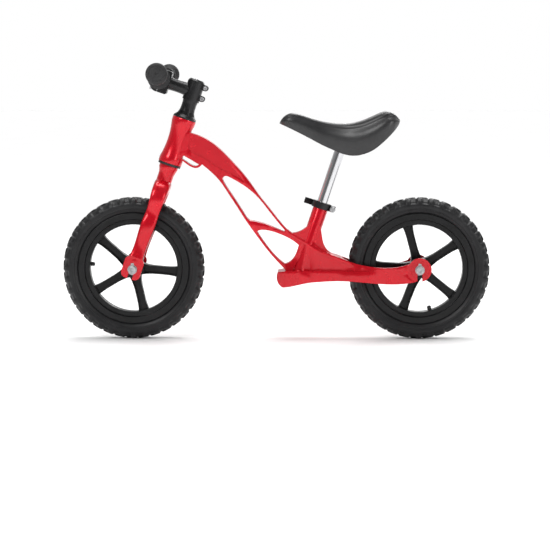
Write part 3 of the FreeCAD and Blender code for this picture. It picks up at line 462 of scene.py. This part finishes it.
def add_saddle():
    """Crowned saddle with a sewn crease round its top and sides that wrap down and under."""
    low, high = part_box("saddle_pad")
    start = low[0]
    rest = high[2] - SADDLE_CREST
    reach = (high[0] - low[0]) * 1000 / SADDLE_LENGTH
    rows = []
    for step in range(SADDLE_STEPS + 1):
        u = (1 - math.cos(math.pi * step / SADDLE_STEPS)) / 2
        x = 0.4 + u * 244.7
        top, bottom = curve_through(SADDLE_TOP, x), curve_through(SADDLE_LOW, x)
        half = curve_through(SADDLE_HALF, x)
        deep = top - bottom
        wall = min(11.0, half * 0.35)
        ceiling = max(top - 17.6, bottom + deep * 0.12)
        section = []
        for f, g in SADDLE_SIDE:
            crease = 0.9 * math.exp(-((g - 0.17) / 0.025) ** 2) * ease(deep, 6, 25)
            section.append((f * half - crease, top - g * deep))
        inner = half * 0.84 - wall
        section += [
            (inner + 1.5, bottom + min(2.0, deep * 0.1)), (inner, (bottom + ceiling) / 2),
            (inner - 2.0, ceiling - min(3.0, deep * 0.05)), (inner * 0.75, ceiling), (0.0, ceiling)]
        ring = [(start + x * reach / 1000, y / 1000, rest + z / 1000) for y, z in section]
        ring += [(px, -py, pz) for px, py, pz in ring[-2:0:-1]]
        rows.append(ring)
    mesh = grid_mesh("saddle_cushion", rows, wrap_rows=False)
    piece = new_object("saddle_cushion", mesh, "saddle", "saddle_skin", "saddle_pad")
    smooth = piece.modifiers.new("round", "SUBSURF")
    smooth.levels = smooth.render_levels = 1


# Edge rounding of the castings, m.
SOFT_EDGES = {"main_frame": 0.0018, "fork": 0.0018, "front_rim": 0.0010, "rear_rim": 0.0010}


def soften(name, width):
    """Rounds a casting's edges with a narrow bevel and keeps its faces flat."""
    node = NODES[name]
    weld = node.modifiers.new("cast_weld", "WELD")
    weld.merge_threshold = 0.00002
    edges = node.modifiers.new("cast_edges", "BEVEL")
    edges.width = width
    edges.segments = 3
    edges.limit_method = "ANGLE"
    edges.angle_limit = math.radians(32)
    edges.harden_normals = True


# ---------------------------------------------------------------- stage, light and camera

VIEW_WIDTH = 1.1352       # what the square picture spans at the bike's middle plane, m
CAMERA = Vector((0.059, -4.40, 0.5375))
AIM = Vector((-0.0026, 0.0, 0.1309))
SENSOR = 36.0             # mm
ROOM_FRONT = 0.16         # brightness of the room on the camera side
ROOM_BACK = 0.60          # and on the far side


def add_camera():
    """Camera at the photograph's viewing angle: from the left, a little above, far off."""
    data = bpy.data.cameras.new("camera")
    camera = bpy.data.objects.new("camera", data)
    bpy.context.scene.collection.objects.link(camera)
    camera.location = CAMERA
    camera.rotation_euler = (AIM - CAMERA).to_track_quat("-Z", "Y").to_euler()
    data.sensor_width = SENSOR
    data.lens = SENSOR * (AIM - CAMERA).length / VIEW_WIDTH
    data.clip_end = 100
    bpy.context.scene.camera = camera


def add_light(name, place, target, size, power):
    """Soft rectangular lamp at place, turned to target."""
    data = bpy.data.lights.new(name, "AREA")
    data.shape = "RECTANGLE"
    data.size, data.size_y = size
    data.energy = power
    lamp = bpy.data.objects.new(name, data)
    lamp.location = place
    lamp.rotation_euler = (Vector(target) - Vector(place)).to_track_quat("-Z", "Y").to_euler()
    bpy.context.scene.collection.objects.link(lamp)


def add_world():
    """Room light, dimmer on the camera's side, with a pure white backdrop behind the bike."""
    world = bpy.data.worlds.new("studio")
    bpy.context.scene.world = world
    world.use_nodes = True
    tree = world.node_tree
    background = tree.nodes["Background"]
    background.inputs["Color"].default_value = (1.0, 1.0, 1.0, 1)
    split = tree.nodes.new("ShaderNodeSeparateXYZ")
    place = tree.nodes.new("ShaderNodeTexCoord").outputs["Generated"]
    tree.links.new(place, split.inputs["Vector"])
    room = tree.nodes.new("ShaderNodeMapRange")
    room.inputs["From Min"].default_value = -0.9
    room.inputs["From Max"].default_value = 0.7
    room.inputs["To Min"].default_value = ROOM_FRONT
    room.inputs["To Max"].default_value = ROOM_BACK
    tree.links.new(split.outputs["Y"], room.inputs["Value"])
    seen = tree.nodes.new("ShaderNodeLightPath").outputs["Is Camera Ray"]
    level = tree.nodes.new("ShaderNodeMapRange")
    level.inputs["To Max"].default_value = 1.0
    tree.links.new(seen, level.inputs["Value"])
    tree.links.new(room.outputs["Result"], level.inputs["To Min"])
    tree.links.new(level.outputs["Result"], background.inputs["Strength"])


def add_sky(strength, angle):
    """Broad overhead light that reaches the whole floor evenly."""
    data = bpy.data.lights.new("overhead", "SUN")
    data.energy = strength
    data.angle = math.radians(angle)
    lamp = bpy.data.objects.new("overhead", data)
    lamp.rotation_euler = (math.radians(-8), math.radians(5), 0)
    bpy.context.scene.collection.objects.link(lamp)


def add_stage():
    """White floor and soft studio light."""
    bpy.ops.mesh.primitive_plane_add(size=60, location=(0, 0, 0))
    floor = bpy.context.object
    floor.name = "floor"
    r = Recipe("floor_paper").set(Roughness=0.9)
    tinted(r, r.noise(3.0), (0.93, 0.93, 0.93), (0.95, 0.95, 0.95))
    r.shader.inputs["Specular IOR Level"].default_value = 0.1
    dress(floor, r.material)
    add_world()
    add_light("key", (-1.7, -2.4, 2.4), (0, 0, 0.3), (1.2, 1.6), 50)
    add_light("fill", (2.5, -2.5, 1.3), (0, 0, 0.3), (0.7, 1.8), 26)
    add_light("far", (0.8, 2.6, 1.6), (0, 0, 0.3), (1.6, 1.0), 24)
    add_sky(2.15, 40)
    bpy.context.scene.view_settings.view_transform = "Standard"


# ---------------------------------------------------------------- build

dress_nodes()
add_tyres()
add_grip("left_grip", -1)
add_grip("right_grip", 1)
add_saddle()
for name, width in SOFT_EDGES.items():
    soften(name, width)
add_stage()
add_camera()

bpy.context.view_layer.update()
